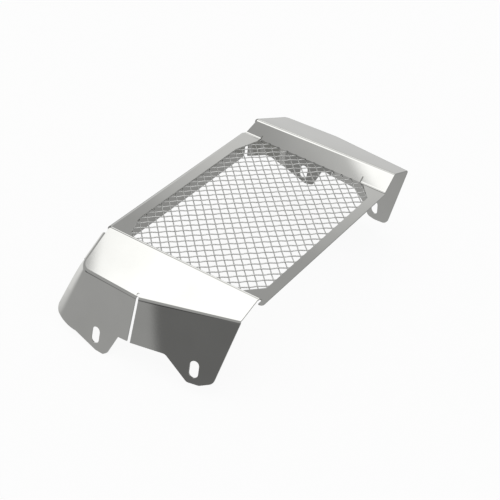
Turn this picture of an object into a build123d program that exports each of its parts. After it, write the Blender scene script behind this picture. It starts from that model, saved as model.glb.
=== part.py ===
from build123d import *
from math import cos, radians, sin, tan
import os

os.makedirs("parts", exist_ok=True)

# Sheet: one stainless blank, folded on a press brake
sheet_thickness = 1.5
bend_inside_radius = 3.5
bend_outside_radius = bend_inside_radius + sheet_thickness
cut_depth = 12.0

# Face: X runs across, Y from the near fold to the far fold, its outside at Z = 0
face_right = 175.3
far_fold_y = 223.5
near_fold_y = 1.34
near_fold_skew = 1.37
near_fold_right = 168.0
ear_left = 171.0
ear_near = 0.3
ear_notch_depth = 6.6
ear_right_radius = 3.5
left_wall_near = 3.0
left_wall_depth = 35.5
left_wall_overrun = 7.0
left_wall_corner_radius = 5.0

# Window in the face, open through the far fold into the hood
window_left = 11.3
window_right = 164.9
window_left_near = [(window_left, 29.5), (19.6, 7.5), (24.5, 3.8)]
window_right_near = [(150.0, 6.3), (window_right, 22.5)]
window_right_far = [(window_right, 203.8), (145.5, 225.8)]
window_left_far = [(19.6, 218.0), (window_left, 189.5)]
relief_left = 20.3
relief_right = 144.8
relief_width = 1.4
relief_left_depth = 4.0
relief_right_depth = 6.6

# Chin: folds down from the near fold, two tabs below it meet at an apex
chin_angle = 28.0
chin_left_edge = -1.0
chin_right_top = 167.5
chin_right_low = 165.0
chin_apex = (66.9, -50.0)
chin_left_slope = -1.55
chin_right_slope = 13.42
chin_corner_radius = 8.0
chin_flange_start = 7.2
chin_flange_end = 38.5
chin_flange_depth = 16.0
chin_flange_radius = 6.0
seam_hole = (65.3, -46.0)
seam_hole_radius = 1.6

# Front tabs: X along their fold from the apex, Y up the sheet
left_tab_angle = 46.0
left_tab_seam = 2.0
left_tab_seam_low = (-1.6, -46.3)
left_tab_points = [(-12.1, -47.2), (-20.4, -69.5), (-24.5, -72.9), (-33.6, -72.9)]
left_tab_radius = 3.0
left_tab_drop = 65.3
right_tab_angle = 44.0
right_tab_seam = 0.9
right_tab_seam_low = (-5.1, -44.9)
right_tab_points = [(31.0, -47.6), (54.0, -69.8), (66.5, -70.6), (80.0, -65.6)]
right_tab_radii = [6.0, 6.0, 6.0, 8.0]
right_tab_end = 101.2

# Wrap: the left tab's sheet goes on round the chin's corner, to a leaning free edge
wrap_turn = 78.0
wrap_edge_lean = 28.6
wrap_corner_radius = 8.0

# Slots in the four tabs, for M8 screws: centre and lean
slot_width = 9.4
slot_length = 17.0
front_left_slot = (-36.9, -57.9, 4.0)
front_right_slot = (60.5, -55.7, -2.6)
rear_left_slot = (-36.0, 62.0, 4.0)
rear_right_slot = (60.6, 63.9, 0.8)

# Hood: a slope up from the far fold, a ridge, a roof down to the rear fold
hood_angle = 41.0
hood_left_low = 0.4
hood_left_lead = 3.0
hood_right_low = 174.0
ridge_left = (5.8, 19.5)
ridge_right = (174.8, 22.3)
ridge_angle = 62.0
roof_apex = (69.4, 60.3)
roof_left_far = (9.0, 58.9)
roof_right_far = (164.9, 35.3)
roof_apex_radius = 25.0
hood_foot = -95.0
hood_crown = 40.0
free_edge_drop = 0.3

# Cheek: the hood's left wall; Y from the far fold and Z
cheek_x = 0.3
cheek_lean = 5.06
cheek_slit = 1.9
cheek_top = [(15.0, 5.0), (5.6, 1.8)]
cheek_low = [(5.6, -32.4), (38.0, -46.0), (47.0, -52.0), (70.0, -74.0)]
cheek_corner_radius = 8.0
cheek_cut_reach = 8.5

# Rear tabs: X along their fold from the apex, Y down the sheet
rear_left_points = [(0.0, 52.5), (-12.0, 49.8), (-22.4, 74.5), (-33.0, 76.5), (-76.0, 60.5)]
rear_left_radii = [0.0, 3.0, 6.0, 8.0, 0.0]
rear_right_points = [
    (0.0, 52.5), (30.5, 52.9), (44.0, 65.0), (52.0, 78.3), (62.0, 79.6), (79.0, 77.5), (103.0, 0.0),
]
rear_right_radii = [0.0, 6.0, 10.0, 6.0, 20.0, 9.0, 0.0]
rear_seam = 1.2
rear_seam_height = 80.0

# Wire mesh: crimped wires on the slant, woven over and under, spot-welded behind the window
mesh_left = 5.0
mesh_right = 171.4
mesh_near = 1.9
mesh_near_right = 5.8
mesh_corner_x = 162.0
mesh_corner_y = 12.0
mesh_far_overlap = 4.0
wire_pitch = 18.0
wire_size = 1.6
wire_width = 2.1
wire_crimp = 0.6
wire_flat_share = 0.3
wire_angle = 45.0


def setback(radius, angle):
    """Distance from a fold's sharp line to where the sheet starts to curve."""
    return radius * tan(radians(angle) / 2)


def folded(panel, start, toward, angle):
    """Plane of a panel folded about its line start-toward; a positive angle lifts the +Y side."""
    origin = panel.from_local_coords((start[0], start[1], 0))
    along = panel.from_local_coords((toward[0], toward[1], 0)) - origin
    edge = Plane(origin=origin, x_dir=along, z_dir=panel.z_dir)
    return Plane(edge.location * Location((0, 0, 0), (angle, 0, 0)))


def edge_plane(panel, start, toward):
    """The panel's own plane, with its X axis laid along the line start-toward."""
    return folded(panel, start, toward, 0)


def add_bend(edge, side, x_from, x_to, angle, upward=False):
    """Roll the sheet's section about a fold; side is the Y side of the edge plane that folds."""
    radius = bend_inside_radius if upward else bend_outside_radius
    lift = radius if upward else -radius
    back = -side * setback(radius, angle)
    section = Plane(
        origin=edge.from_local_coords((0, back, 0)), x_dir=edge.x_dir, z_dir=edge.y_dir * -1
    )
    with BuildSketch(section) as cut:
        with Locations(((x_from + x_to) / 2, -sheet_thickness / 2)):
            Rectangle(x_to - x_from, sheet_thickness)
    turn = side if upward else -side
    axle = Axis(edge.from_local_coords((0, back, lift)), edge.x_dir * turn)
    revolve(cut.sketch, axis=axle, revolution_arc=angle)


def shifted(start, toward, back):
    """The line start-toward moved sideways to its left by back."""
    run = Vector(toward[0] - start[0], toward[1] - start[1]).normalized()
    step = (-run.Y * back, run.X * back)
    return (start[0] + step[0], start[1] + step[1]), (toward[0] + step[0], toward[1] + step[1])


def crossing(first, second):
    """Where two lines cross, each given by two points."""
    (a, b), (c, d) = first, second
    run, other = (b[0] - a[0], b[1] - a[1]), (d[0] - c[0], d[1] - c[1])
    across = run[0] * other[1] - run[1] * other[0]
    share = ((c[0] - a[0]) * other[1] - (c[1] - a[1]) * other[0]) / across
    return (a[0] + run[0] * share, a[1] + run[1] * share)


def round_corners(sketch, points, radii):
    """Fillet a sketch's corners at points, each by its own radius."""
    for point, radius in zip(points, radii):
        if radius:
            fillet(sketch.vertices().sort_by_distance((*point, 0))[0], radius)


def slot_cut(plane, place):
    """A screw slot through a tab; place is its centre and its lean from the tab's own Y."""
    with BuildSketch(plane) as outline:
        with Locations(Location((place[0], place[1]), (0, 0, 90 + place[2]))):
            SlotOverall(slot_length, slot_width)
    extrude(outline.sketch, amount=cut_depth, both=True, mode=Mode.SUBTRACT)


# Planes of the panels, each folded from the one before it
face = Plane.XY
near_run = near_fold_right / cos(radians(near_fold_skew))
near_end = (near_fold_right, near_fold_y + near_fold_right * tan(radians(near_fold_skew)))
near_edge = edge_plane(face, (0, near_fold_y), near_end)
near_back = setback(bend_outside_radius, chin_angle)
chin = folded(face, (0, near_fold_y), near_end, chin_angle)
chin_left_low = (
    chin_left_edge,
    chin_apex[1] - (chin_apex[0] - chin_left_edge) * tan(radians(chin_left_slope)),
)
chin_right_end = (
    chin_right_low,
    chin_apex[1] + (chin_right_low - chin_apex[0]) * tan(radians(chin_right_slope)),
)
beyond_apex = (2 * chin_apex[0] - chin_left_low[0], 2 * chin_apex[1] - chin_left_low[1])
left_back = setback(bend_outside_radius, left_tab_angle)
right_back = setback(bend_outside_radius, right_tab_angle)
left_tangent = shifted(chin_left_low, chin_apex, left_back)
right_tangent = shifted(chin_apex, chin_right_end, right_back)
left_edge = edge_plane(chin, chin_apex, beyond_apex)
right_edge = edge_plane(chin, chin_apex, chin_right_end)
front_left = folded(chin, chin_apex, beyond_apex, left_tab_angle)
front_right = folded(chin, chin_apex, chin_right_end, right_tab_angle)
wrap_line = chin_left_edge + chin_corner_radius
wrap_spot = crossing(shifted(*left_tangent, chin_corner_radius), ((wrap_line, 0), (wrap_line, 1)))
wrap_centre = chin.from_local_coords((*wrap_spot, 0))
wrap_start = left_edge.to_local_coords(wrap_centre).X
wrap_bend_end = chin_corner_radius + bend_outside_radius * sin(radians(left_tab_angle))
wrap_edge_top = (
    wrap_spot[0] - wrap_bend_end * sin(radians(wrap_turn)),
    wrap_spot[1] - wrap_bend_end * cos(radians(wrap_turn)),
)
wrap_edge_low = (
    wrap_edge_top[0] - sin(radians(wrap_edge_lean)),
    wrap_edge_top[1] - cos(radians(wrap_edge_lean)),
)
wrap_edge = edge_plane(chin, wrap_edge_top, wrap_edge_low)
far_edge = edge_plane(face, (0, far_fold_y), (face_right, far_fold_y))
far_back = setback(bend_inside_radius, hood_angle)
far_tangent_y = far_fold_y - far_back
near_tangent = shifted((0, near_fold_y), near_end, near_back)
slope = folded(face, (0, far_fold_y), (face_right, far_fold_y), hood_angle)
roof = folded(slope, ridge_left, ridge_right, -ridge_angle)
roof_drop = 90 - (ridge_angle - hood_angle)
beyond_roof = (2 * roof_apex[0] - roof_left_far[0], 2 * roof_apex[1] - roof_left_far[1])
rear_left = folded(roof, roof_apex, beyond_roof, -roof_drop)
rear_right = folded(roof, roof_apex, roof_right_far, -roof_drop)
lean = Vector(sin(radians(cheek_lean)), cos(radians(cheek_lean)), 0)
cheek = Plane(origin=(cheek_x, far_fold_y, 0), x_dir=lean * -1, z_dir=Vector(-lean.Y, lean.X, 0))
hood_right = Plane.YZ.offset(hood_right_low)


def plan(panel, point):
    """A panel's point seen from above."""
    spot = panel.from_local_coords((point[0], point[1], 0))
    return (spot.X, spot.Y)


def hood_block(inset):
    """The hood's block with its slope, roof, cheek and rear walls moved in by inset, and rounded."""
    overrun = cut_depth if inset else 0
    height = hood_crown - hood_foot
    with BuildPart() as block:
        with Locations((0, far_fold_y + face_right / 2 - cut_depth, hood_foot + height / 2)):
            Box(2 * face_right + overrun, face_right + 2 * overrun, height + 2 * overrun)
        for wall in (slope, roof, cheek, rear_left, rear_right):
            split(bisect_by=wall.offset(-inset), keep=Keep.BOTTOM)
        split(bisect_by=hood_right.offset(overrun), keep=Keep.BOTTOM)
        fillet(block.edges().sort_by_distance(cheek_corner)[0], cheek_corner_radius - inset)
        fillet(block.edges().sort_by_distance(rear_corner)[0], roof_apex_radius - inset)
        top = block.faces().sort_by_distance(roof_middle - roof.z_dir * inset)[0]
        rim = top.edges().sort_by(Axis.X)[:-1]
        fillet(rim, bend_outside_radius - inset)
    return block.part


upright_middle = Vector(0, 0, hood_foot / 2)
rear_corner = roof.from_local_coords((*roof_apex, 0)) + upright_middle
cheek_corner = roof.from_local_coords((*roof_left_far, 0)) + upright_middle
roof_middle = roof.from_local_coords(((ridge_left[0] + ridge_right[0]) / 2, roof_apex[1] / 2, 0))
hood_outer = hood_block(0)
hood_inner = hood_block(sheet_thickness)
with BuildPart() as hood:
    add(hood_outer)
    add(hood_inner, mode=Mode.SUBTRACT)
    # the slope's lower edge: bent at both ends, free above the window
    with BuildSketch(slope) as low_edge:
        with Locations((face_right / 2, -cut_depth)):
            Rectangle(2 * face_right, 2 * cut_depth - 2 * free_edge_drop)
        with Locations((relief_left - face_right, 0), (relief_right + face_right, 0)):
            Rectangle(2 * face_right, 2 * far_back)
        with Locations((relief_left, 0)):
            Rectangle(relief_width, 2 * relief_left_depth)
        with Locations((relief_right, 0)):
            Rectangle(relief_width, 2 * relief_right_depth)
    extrude(amount=bend_outside_radius, both=True, mode=Mode.SUBTRACT)
    # the slope's raw left edge, clear of the cheek
    with BuildSketch(slope) as left_end:
        with BuildLine():
            Polyline(
                (-cut_depth, -cut_depth), (hood_left_low - hood_left_lead, -cut_depth),
                (hood_left_low, 0), ridge_left, (ridge_left[0], ridge_left[1] + hood_left_lead),
                (-cut_depth, ridge_left[1] + hood_left_lead), close=True,
            )
        make_face()
    extrude(amount=bend_outside_radius, mode=Mode.SUBTRACT)
    extrude(left_end.sketch, amount=-cheek_slit, mode=Mode.SUBTRACT)
    # the cheek's outline, up to the slope's underside
    slope_rise = tan(radians(hood_angle))
    slope_under = sheet_thickness / cos(radians(hood_angle))
    with BuildSketch(Plane.YZ.offset(-cut_depth)) as cheek_outline:
        with BuildLine():
            Polyline(
                *[
                    (far_fold_y + back, height)
                    for back, height in (
                        (-cut_depth, 2 * hood_foot), (-cut_depth, -cut_depth * slope_rise - slope_under),
                        (cheek_top[0][0], cheek_top[0][0] * slope_rise - slope_under),
                        *cheek_top, *cheek_low, (cheek_low[-1][0], 2 * hood_foot),
                    )
                ],
                close=True,
            )
        make_face()
    extrude(amount=cut_depth + cheek_cut_reach, mode=Mode.SUBTRACT)
    # the rear tabs' outlines, with the seam between them
    for wall, points, radii, seam_side in (
        (rear_left, rear_left_points, rear_left_radii, cut_depth),
        (rear_right, rear_right_points, rear_right_radii, -cut_depth),
    ):
        low = 3 * points[0][1]
        with BuildSketch(wall) as outline:
            with BuildLine():
                Polyline(
                    (seam_side, points[0][1]), *points, (points[-1][0], low), (seam_side, low),
                    close=True,
                )
            make_face()
            round_corners(outline, points, radii)
        extrude(amount=cut_depth, both=True, mode=Mode.SUBTRACT)
    with BuildSketch(Plane.XY.offset(hood_foot)):
        with Locations(plan(roof, roof_apex)):
            Rectangle(rear_seam, 2 * cut_depth)
    extrude(amount=rear_seam_height, mode=Mode.SUBTRACT)

# Corner wrap: the tab's section turned about the centre of the chin's rounded corner
with BuildPart() as corner_wrap:
    wrap_plane = Plane(origin=wrap_centre, x_dir=left_edge.y_dir * -1, z_dir=left_edge.x_dir * -1)
    with BuildSketch(wrap_plane) as wrap_section:
        with BuildLine():
            bend_centre = (chin_corner_radius, -bend_outside_radius)
            outside = CenterArc(bend_centre, bend_outside_radius, 90, -left_tab_angle)
            inside = CenterArc(bend_centre, bend_inside_radius, 90, -left_tab_angle)
            outside_wall = PolarLine(outside @ 1, left_tab_drop - left_back, -left_tab_angle)
            inside_wall = PolarLine(inside @ 1, left_tab_drop - left_back, -left_tab_angle)
            Line(outside @ 0, inside @ 0)
            Line(outside_wall @ 1, inside_wall @ 1)
        make_face()
    wrap_axis = Axis(wrap_centre, chin.z_dir * -1)
    revolve(wrap_section.sketch, axis=wrap_axis, revolution_arc=wrap_turn)
    split(bisect_by=Plane(origin=wrap_edge.origin, z_dir=wrap_edge.y_dir), keep=Keep.TOP)
    fillet(corner_wrap.edges().sort_by(Axis.X)[0], wrap_corner_radius)

# Guard: face, chin, front tabs, left wall and hood, all one folded sheet
with BuildPart() as guard_sheet:
    with BuildSketch(face) as face_outline:
        with BuildLine():
            Polyline(
                crossing(near_tangent, ((0, 0), (0, 1))), near_tangent[1],
                (near_tangent[1][0], ear_notch_depth), (ear_left, ear_notch_depth),
                (ear_left, ear_near), (face_right, ear_near), (face_right, far_tangent_y),
                (0, far_tangent_y), close=True,
            )
        make_face()
        fillet(
            face_outline.vertices().sort_by_distance((face_right, ear_near, 0))[0], ear_right_radius
        )
        with BuildLine():
            window_end = far_fold_y + cut_depth
            Polyline(
                *window_left_near, *window_right_near, *window_right_far,
                (window_right_far[-1][0], window_end), (window_left_far[0][0], window_end),
                *window_left_far, close=True,
            )
        make_face(mode=Mode.SUBTRACT)
    extrude(amount=-sheet_thickness)
    add_bend(near_edge, -1, 0, near_run, chin_angle)
    add_bend(far_edge, 1, 0, relief_left - relief_width / 2, hood_angle, upward=True)
    add_bend(far_edge, 1, relief_right + relief_width / 2, hood_right_low, hood_angle, upward=True)
    add(hood.part)

    # left wall, folded straight down beside the face
    wall_x = -bend_outside_radius
    wall_edge = edge_plane(face, (wall_x, left_wall_near), (wall_x, far_fold_y))
    add_bend(wall_edge, 1, 0, far_tangent_y - left_wall_near, 90)
    wall_far = far_fold_y + left_wall_overrun
    wall_plane = Plane(origin=(wall_x, 0, 0), x_dir=(0, -1, 0), z_dir=(-1, 0, 0))
    with BuildSketch(wall_plane) as wall_face:
        with BuildLine():
            Polyline(
                (-left_wall_near, -bend_outside_radius), (-left_wall_near, -left_wall_depth),
                (-wall_far, -left_wall_depth), (-wall_far, -bend_outside_radius), close=True,
            )
        make_face()
        fillet(wall_face.vertices().group_by(Axis.Y)[0], left_wall_corner_radius)
    extrude(amount=-sheet_thickness)

    # chin with its left flange
    with BuildSketch(chin) as chin_outline:
        with BuildLine():
            Polyline(
                (chin_left_edge, -near_back),
                crossing(left_tangent, ((chin_left_edge, 0), chin_left_low)),
                crossing(left_tangent, right_tangent),
                crossing(right_tangent, (chin_right_end, (chin_right_top, 0))),
                (chin_right_top, -near_back), close=True,
            )
        make_face()
        round_corners(chin_outline, [chin_left_low], [chin_corner_radius])
        with Locations(seam_hole):
            Circle(seam_hole_radius, mode=Mode.SUBTRACT)
    extrude(amount=-sheet_thickness)
    flange_foot = (chin_left_edge - bend_outside_radius, -chin_flange_end)
    flange_head = (chin_left_edge - bend_outside_radius, -chin_flange_start)
    flange_run = chin_flange_end - chin_flange_start
    add_bend(edge_plane(chin, flange_foot, flange_head), 1, 0, flange_run, 90)
    with BuildSketch(folded(chin, flange_foot, flange_head, -90)) as flange:
        with BuildLine():
            Polyline(
                (0, bend_outside_radius), (0, chin_flange_depth),
                (flange_run, chin_flange_depth), (flange_run, bend_outside_radius), close=True,
            )
        make_face()
        round_corners(flange, [(flange_run, chin_flange_depth)], [chin_flange_radius])
    extrude(amount=-sheet_thickness)

    # front tabs, the left one going on round the chin's corner
    add_bend(left_edge, -1, wrap_start, -left_tab_seam, left_tab_angle)
    with BuildSketch(front_left) as left_outline:
        with BuildLine():
            Polyline(
                (-left_tab_seam, -left_back), left_tab_seam_low, *left_tab_points,
                (wrap_start, -left_tab_drop), (wrap_start, -left_back), close=True,
            )
        make_face()
        round_corners(left_outline, left_tab_points[1:], [left_tab_radius] * 3)
    extrude(amount=-sheet_thickness)
    add(corner_wrap.part)
    add_bend(right_edge, -1, right_tab_seam, right_tab_end, right_tab_angle)
    with BuildSketch(front_right) as right_outline:
        with BuildLine():
            Polyline(
                (right_tab_seam, -right_back), right_tab_seam_low, *right_tab_points,
                (right_tab_end, -right_back), close=True,
            )
        make_face()
        round_corners(right_outline, right_tab_points, right_tab_radii)
    extrude(amount=-sheet_thickness)

    slot_cut(front_left, front_left_slot)
    slot_cut(front_right, front_right_slot)
    slot_cut(rear_left, rear_left_slot)
    slot_cut(rear_right, rear_right_slot)

# Wire mesh: two crossing sets of crimped wires, each over one and under the next
mesh_middle = (window_left + window_right) / 2, far_fold_y / 2
mesh_level = -sheet_thickness - wire_size / 2 - wire_crimp
wire_count = int(far_fold_y / wire_pitch)
shortest_wire = wire_pitch
flat = wire_flat_share * wire_pitch
with BuildPart() as wire_mesh:
    for turn, first in ((wire_angle, 0), (wire_angle + 90, 1)):
        run = Vector(cos(radians(turn)), sin(radians(turn)), 0)
        side = Vector(run.Y, -run.X, 0)
        for row in range(-wire_count, wire_count + 1):
            start = Vector(*mesh_middle, mesh_level) + side * row * wire_pitch
            reach = [
                sorted(((low - at) / step, (high - at) / step))
                for at, step, low, high in (
                    (start.X, run.X, mesh_left, mesh_right),
                    (start.Y, run.Y, 0, far_fold_y + mesh_far_overlap),
                )
            ]
            wire_from, wire_to = max(r[0] for r in reach), min(r[1] for r in reach)
            if wire_to - wire_from < shortest_wire:
                continue
            wave = []
            for knot in range(int(wire_from // wire_pitch), int(wire_to // wire_pitch) + 2):
                lift = wire_crimp if (row + knot + first) % 2 == 0 else -wire_crimp
                wave.append((knot * wire_pitch - flat / 2, lift))
                wave.append((knot * wire_pitch + flat / 2, lift))
            with BuildSketch(Plane(origin=start, x_dir=run, z_dir=side)):
                with BuildLine():
                    Polyline(
                        *[(u, lift + wire_size / 2) for u, lift in wave],
                        *[(u, lift - wire_size / 2) for u, lift in reversed(wave)], close=True,
                    )
                make_face()
    extrude(amount=wire_width / 2, both=True)
    with BuildSketch(Plane.XY.offset(mesh_level)):
        with BuildLine():
            Polyline(
                (mesh_left, mesh_near), (mesh_corner_x, mesh_near_right), (mesh_right, mesh_corner_y),
                (mesh_right, far_fold_y + mesh_far_overlap),
                (mesh_left, far_fold_y + mesh_far_overlap), close=True,
            )
        make_face()
    extrude(amount=cut_depth, both=True, mode=Mode.INTERSECT)

# The guard stands on its tab tips, its origin under the middle of its box
whole = Compound([guard_sheet.part, wire_mesh.part]).bounding_box()
to_origin = Location((-whole.center().X, -whole.center().Y, -whole.min.Z))
guard_sheet.part.move(to_origin)
wire_mesh.part.move(to_origin)

guard_sheet.part.label = "guard_sheet"
export_step(guard_sheet.part, "parts/guard_sheet.step")
wire_mesh.part.label = "wire_mesh"
export_step(wire_mesh.part, "parts/wire_mesh.step")
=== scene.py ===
from math import cos, inf, pi, radians, sin

import bmesh
import bpy
from mathutils import Matrix, Vector


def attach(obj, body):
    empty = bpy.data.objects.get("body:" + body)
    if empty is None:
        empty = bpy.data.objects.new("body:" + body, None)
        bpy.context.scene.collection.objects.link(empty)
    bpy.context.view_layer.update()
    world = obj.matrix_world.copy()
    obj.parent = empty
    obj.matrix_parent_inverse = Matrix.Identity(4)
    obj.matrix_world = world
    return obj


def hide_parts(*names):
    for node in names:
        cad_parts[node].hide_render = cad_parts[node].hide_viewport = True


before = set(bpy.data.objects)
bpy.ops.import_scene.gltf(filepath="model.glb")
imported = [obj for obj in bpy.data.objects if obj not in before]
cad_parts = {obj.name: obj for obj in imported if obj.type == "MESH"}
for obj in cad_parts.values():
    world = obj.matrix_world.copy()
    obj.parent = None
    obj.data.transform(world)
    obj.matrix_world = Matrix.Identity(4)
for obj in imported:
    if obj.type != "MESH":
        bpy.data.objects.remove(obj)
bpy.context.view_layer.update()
scene = bpy.context.scene
MM = 0.001
WHITE = (1.0, 1.0, 1.0, 1.0)


# Small helpers

def linear(code):
    """A colour as written in sRGB hex, made linear."""
    channels = [int(code[i:i + 2], 16) / 255 for i in (1, 3, 5)]
    return tuple(c / 12.92 if c <= 0.04045 else ((c + 0.055) / 1.055) ** 2.4 for c in channels) + (1.0,)


def add(tree, kind, inputs=(), **settings):
    """A node of a kind, with its settings made and its inputs set or linked."""
    node = tree.nodes.new(kind)
    for name, value in settings.items():
        setattr(node, name, value)
    for key, value in dict(inputs).items():
        if isinstance(value, bpy.types.NodeSocket):
            tree.links.new(value, node.inputs[key])
        else:
            node.inputs[key].default_value = value
    return node


def repeats(size):
    """A pattern's scale, from the size of one of its marks in millimetres."""
    return 1 / (size * MM)


def drift(tree, pattern, start, end, first, second):
    """A tone that goes from the first colour to the second as the pattern goes from start to end."""
    share = add(tree, "ShaderNodeMapRange", {"Value": pattern, "From Min": start, "From Max": end})
    # inputs 6 and 7 of a colour mix are its two colours, and output 2 is the mixed one
    mixed = add(tree, "ShaderNodeMix", {0: share.outputs[0], 6: first, 7: second}, data_type="RGBA")
    return mixed.outputs[2]


def material(name):
    """A material with an empty node tree, and that tree."""
    made = bpy.data.materials.new(name)
    made.use_nodes = True
    made.node_tree.nodes.clear()
    return made, made.node_tree


def finish_surface(tree, shader):
    """Join a shader to its material's surface."""
    add(tree, "ShaderNodeOutputMaterial", {"Surface": shader.outputs[0]})


def piece_from(bm, name):
    """An object at the origin from a finished bmesh."""
    mesh = bpy.data.meshes.new(name)
    bm.to_mesh(mesh)
    bm.free()
    piece = bpy.data.objects.new(name, mesh)
    scene.collection.objects.link(piece)
    return piece


def box_of(piece):
    """A piece's lowest and highest corners in the frame, in millimetres."""
    corners = [piece.matrix_world @ Vector(corner) / MM for corner in piece.bound_box]
    return [Vector([pick(corner[axis] for corner in corners) for axis in range(3)]) for pick in (min, max)]


# Materials, with the sizes of their marks in millimetres

GRAIN_WIDTH = 0.4
GRAIN_LENGTH = 40.0
GRAIN_DEPTH = 0.04
SHEET_CLOUD = 36.0
WIRE_SPOT = 2.4
PAPER_CLOUD = 16.0
PAPER_SHARE = 0.07


def bright_sheet():
    """Stainless steel 304 sheet, cold rolled and bright annealed, then folded.

    It is nearly a mirror, pale and a little warm. The rolls leave a grain along Y of about 0.05 mm,
    too fine to show, so it is drawn 0.4 mm wide, and the tone drifts faintly over some centimetres.
    """
    made, tree = material("bright_annealed_stainless_sheet")
    place = add(tree, "ShaderNodeTexCoord").outputs["Object"]
    along_rolls = (repeats(GRAIN_WIDTH), repeats(GRAIN_LENGTH), repeats(GRAIN_WIDTH))
    stretched = add(tree, "ShaderNodeMapping", {"Vector": place, "Scale": along_rolls})
    grain = add(tree, "ShaderNodeTexNoise", {
        "Vector": stretched.outputs[0], "Scale": 1.0, "Detail": 3.0,
    }).outputs["Fac"]
    cloud = add(tree, "ShaderNodeTexNoise", {
        "Vector": place, "Scale": repeats(SHEET_CLOUD), "Detail": 4.0,
    }).outputs["Fac"]
    colour = drift(tree, cloud, 0.3, 0.7, linear("#c4c4c1"), linear("#c9c9c6"))
    rough = add(tree, "ShaderNodeMapRange", {
        "Value": grain, "From Min": 0.3, "From Max": 0.75, "To Min": 0.02, "To Max": 0.04,
    })
    bump = add(tree, "ShaderNodeBump", {
        "Height": grain, "Strength": 0.04, "Distance": GRAIN_DEPTH * MM,
    })
    shader = add(tree, "ShaderNodeBsdfPrincipled", {
        "Base Color": colour, "Metallic": 1.0, "Roughness": rough.outputs[0], "Normal": bump.outputs[0],
    })
    finish_surface(tree, shader)
    return made


def drawn_wire():
    """Stainless steel 304 wire, cold drawn through a die, woven and left as it is.

    The die leaves it satin, duller and greyer than the sheet. Its die marks are about 0.1 mm and
    don't show, so they are drawn as soft spots of 2.4 mm.
    """
    made, tree = material("drawn_stainless_wire")
    place = add(tree, "ShaderNodeTexCoord").outputs["Object"]
    spots = add(tree, "ShaderNodeTexNoise", {
        "Vector": place, "Scale": repeats(WIRE_SPOT), "Detail": 3.0,
    }).outputs["Fac"]
    colour = drift(tree, spots, 0.3, 0.7, linear("#c2c2c0"), linear("#cecfcd"))
    rough = add(tree, "ShaderNodeMapRange", {
        "Value": spots, "From Min": 0.3, "From Max": 0.7, "To Min": 0.28, "To Max": 0.4,
    })
    shader = add(tree, "ShaderNodeBsdfPrincipled", {
        "Base Color": colour, "Metallic": 1.0, "Roughness": rough.outputs[0],
    })
    finish_surface(tree, shader)
    return made


def background_paper():
    """Uncoated white background paper, matte: white to the camera, with the guard's soft shadow.

    Its fibres are far too fine to show, so the paper's tone drifts over 16 mm instead.
    """
    made, tree = material("white_paper_floor")
    place = add(tree, "ShaderNodeTexCoord").outputs["Object"]
    cloud = add(tree, "ShaderNodeTexNoise", {
        "Vector": place, "Scale": repeats(PAPER_CLOUD), "Detail": 3.0,
    }).outputs["Fac"]
    colour = drift(tree, cloud, 0.3, 0.7, linear("#e6e6e6"), linear("#eaeaea"))
    matte = add(tree, "ShaderNodeBsdfPrincipled", {"Base Color": colour, "Roughness": 0.9}).outputs[0]
    seen = add(tree, "ShaderNodeLightPath").outputs["Is Camera Ray"]
    glow = add(tree, "ShaderNodeEmission", {"Color": WHITE, "Strength": seen}).outputs[0]
    shaded = add(tree, "ShaderNodeMixShader", {"Fac": PAPER_SHARE, 1: glow, 2: matte}).outputs[0]
    finish_surface(tree, add(tree, "ShaderNodeMixShader", {"Fac": seen, 1: matte, 2: shaded}))
    return made


# Studio: a pale room with a wide soft box overhead. The photograph doesn't show it, so each panel
# stands where a surface of the guard reflects it, and gives that surface about the tone it has there.
# Each panel: bearing from +X and height in degrees, full and outer half angles, level added

ROOM_LEVEL = 0.52
DARKEST_LEVEL = 0.02
SOFTBOX = [
    (-110, 86, 30.2, 31.2, 0.9),
    (-110, 86, 28.5, 35, 0.42),
    (-162, 56, 1, 5, -0.15),
    (140, 58, 12, 22, -0.75),
]
STUDIO_CARDS = [
    (131, 50, 6, 10, 1.1),
    (118, 12, 20.5, 27.5, 0.38),
    (114, -9, 8, 18, -0.12),
    (-72, 2, 28.3, 28.9, -0.24),
    (-128, 3, 4, 12, -0.4),
    (-108, 8, 5, 14, -0.3),
    (-100, -10, 6, 17, -0.08),
    (-185, -10, 16, 34, 0.55),
    (-120, -38, 8, 16, -0.2),
    (50, -37, 20, 30, -0.1),
]


def studio_world():
    """The room as the steel reflects it, and plain white to the camera."""
    world = bpy.data.worlds.new("studio")
    world.use_nodes = True
    tree = world.node_tree
    tree.nodes.clear()
    toward = add(tree, "ShaderNodeTexCoord").outputs["Generated"]

    def card(bearing, height, inner, outer, level):
        """A soft round panel: full inside inner degrees of its middle, gone outside outer."""
        low = cos(radians(height))
        aim = (low * cos(radians(bearing)), low * sin(radians(bearing)), sin(radians(height)))
        facing = add(tree, "ShaderNodeVectorMath", {0: toward, 1: aim}, operation="DOT_PRODUCT")
        soft = add(tree, "ShaderNodeMapRange", {
            "Value": facing.outputs["Value"], "From Min": cos(radians(outer)),
            "From Max": cos(radians(inner)), "To Min": 0.0, "To Max": level,
        }, interpolation_type="SMOOTHSTEP")
        return soft.outputs["Result"]

    level = ROOM_LEVEL
    for panels, least in ((SOFTBOX, ROOM_LEVEL), (STUDIO_CARDS, DARKEST_LEVEL)):
        for panel in panels:
            level = add(tree, "ShaderNodeMath", {0: level, 1: card(*panel)}, operation="ADD").outputs[0]
        level = add(tree, "ShaderNodeMath", {0: level, 1: least}, operation="MAXIMUM").outputs[0]
    room = add(tree, "ShaderNodeBackground", {"Color": WHITE, "Strength": level}).outputs[0]
    white = add(tree, "ShaderNodeBackground", {"Color": WHITE, "Strength": 1.0}).outputs[0]
    seen = add(tree, "ShaderNodeLightPath").outputs["Is Camera Ray"]
    both = add(tree, "ShaderNodeMixShader", {"Fac": seen, 1: room, 2: white}).outputs[0]
    add(tree, "ShaderNodeOutputWorld", {"Surface": both})
    return world


# Camera, fitted to the guard's straight edges and to the mesh in the photograph

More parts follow.
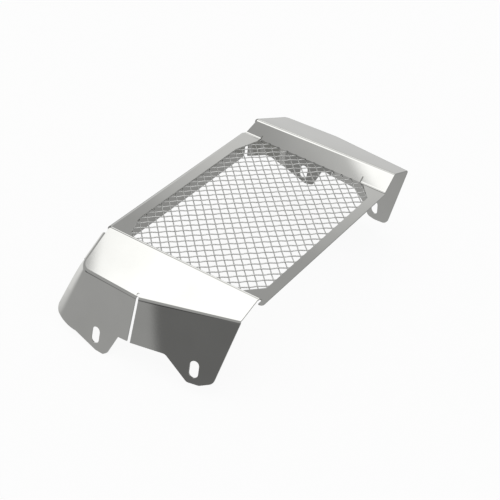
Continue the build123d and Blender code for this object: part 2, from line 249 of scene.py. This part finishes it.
CAMERA_PLACE = (0.4610473, -0.724792, 0.7100709)
CAMERA_TURN = (51.7322, -3.85406, 34.97612)
CAMERA_LENS = 76.872
SENSOR_WIDTH = 36.0


def photo_camera():
    """The camera that took the photograph."""
    data = bpy.data.cameras.new("photo_camera")
    data.sensor_fit = "HORIZONTAL"
    data.sensor_width = SENSOR_WIDTH
    data.lens = CAMERA_LENS
    camera = bpy.data.objects.new("photo_camera", data)
    camera.location = CAMERA_PLACE
    camera.rotation_euler = [radians(turn) for turn in CAMERA_TURN]
    scene.collection.objects.link(camera)
    scene.camera = camera


# Woven wire cloth, in millimetres. It fills the frame's wire mesh and touches the sheet as that does.
# Its near right corner is cut between two points given from the mesh's own near right corner, and two
# wires cross at a point given from its near left corner

WIRE_PITCH = 8.0
WIRE_RADIUS = 0.6
WIRE_WAVE = 0.32
WIRE_SIDES = 8
STEPS_PER_PITCH = 4
SHORTEST_STEP = 0.3
CORNER_CUT = ((-9.4, 3.9), (0.0, 10.1))
WIRES_CROSS = (83.1, 109.85)


def span_inside(outline, start, run):
    """Where the line start + u * run goes into a convex outline and out of it again."""
    low, high = -inf, inf
    for one, two in zip(outline, outline[1:] + outline[:1]):
        inward = Vector((one.y - two.y, two.x - one.x))
        rate = run.xy.dot(inward)
        edge = (one - start.xy).dot(inward) / rate
        if rate > 0:
            low = max(low, edge)
        else:
            high = min(high, edge)
    return low, high


def one_wire(places, turn):
    """One wire's mesh: a ring drawn from place to place, capped at both ends."""
    bm = bmesh.new()
    standing = Matrix.Rotation(turn, 4, "Z") @ Matrix.Rotation(pi / 2, 4, "Y")
    ring = bmesh.ops.create_circle(
        bm, cap_ends=True, segments=WIRE_SIDES, radius=WIRE_RADIUS * MM,
        matrix=Matrix.Translation(places[0]) @ standing,
    )["verts"]
    rim = list({edge for vert in ring for edge in vert.link_edges})
    for here, there in zip(places, places[1:]):
        drawn = bmesh.ops.extrude_edge_only(bm, edges=rim)["geom"]
        moved = [part for part in drawn if isinstance(part, bmesh.types.BMVert)]
        rim = [
            part for part in drawn
            if isinstance(part, bmesh.types.BMEdge) and all(vert in moved for vert in part.verts)
        ]
        bmesh.ops.translate(bm, vec=there - here, verts=moved)
    bmesh.ops.contextual_create(bm, geom=rim)
    bmesh.ops.recalc_face_normals(bm, faces=bm.faces)
    mesh = bpy.data.meshes.new("wire")
    bm.to_mesh(mesh)
    bm.free()
    return mesh


def wire_cloth():
    """Plain woven cloth: each wire waves over one crossing wire and under the next."""
    near_left, far_right = box_of(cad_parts["wire_mesh"])
    near_right = Vector((far_right.x, near_left.y))
    outline = [
        near_left.xy, *[near_right + Vector(point) for point in CORNER_CUT],
        far_right.xy, Vector((near_left.x, far_right.y)),
    ]
    middle = near_left + Vector((*WIRES_CROSS, 0))
    middle.z = far_right.z - WIRE_RADIUS - WIRE_WAVE
    rows = int((far_right - near_left).length / WIRE_PITCH)
    step = WIRE_PITCH / STEPS_PER_PITCH
    bm = bmesh.new()
    for turn, first in ((pi / 4, 0), (3 * pi / 4, 1)):
        run = Vector((cos(turn), sin(turn), 0))
        side = Vector((run.y, -run.x, 0))
        for row in range(-rows, rows + 1):
            start = middle + side * row * WIRE_PITCH
            low, high = span_inside(outline, start, run)
            if high - low < WIRE_PITCH:
                continue
            knots = [k * step for k in range(int(low // step) + 1, int(high // step) + 1)]
            inner = [u for u in knots if low + SHORTEST_STEP < u < high - SHORTEST_STEP]
            places = []
            for u in (low, *inner, high):
                wave = WIRE_WAVE * cos(pi * (u / WIRE_PITCH + row + first))
                places.append((start + run * u + Vector((0, 0, wave))) * MM)
            wire = one_wire(places, turn)
            bm.from_mesh(wire)
            bpy.data.meshes.remove(wire)
    for face in bm.faces:
        face.smooth = len(face.verts) == 4
    return piece_from(bm, "wire_cloth")


FLOOR_HALF = 6.0


def floor():
    """The paper under the guard, which the steel doesn't reflect: it reflects the room instead."""
    bm = bmesh.new()
    bmesh.ops.create_grid(bm, x_segments=4, y_segments=4, size=FLOOR_HALF)
    paper = piece_from(bm, "floor")
    paper.data.materials.append(background_paper())
    paper.visible_glossy = False


steel = bright_sheet()
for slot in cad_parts["guard_sheet"].material_slots:
    slot.material = steel

wire_steel = drawn_wire()
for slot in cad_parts["wire_mesh"].material_slots:
    slot.material = wire_steel
cloth = wire_cloth()
cloth.data.materials.append(wire_steel)
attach(cloth, "root")
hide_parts("wire_mesh")

floor()
scene.world = studio_world()
photo_camera()
scene.view_settings.view_transform = "Standard"
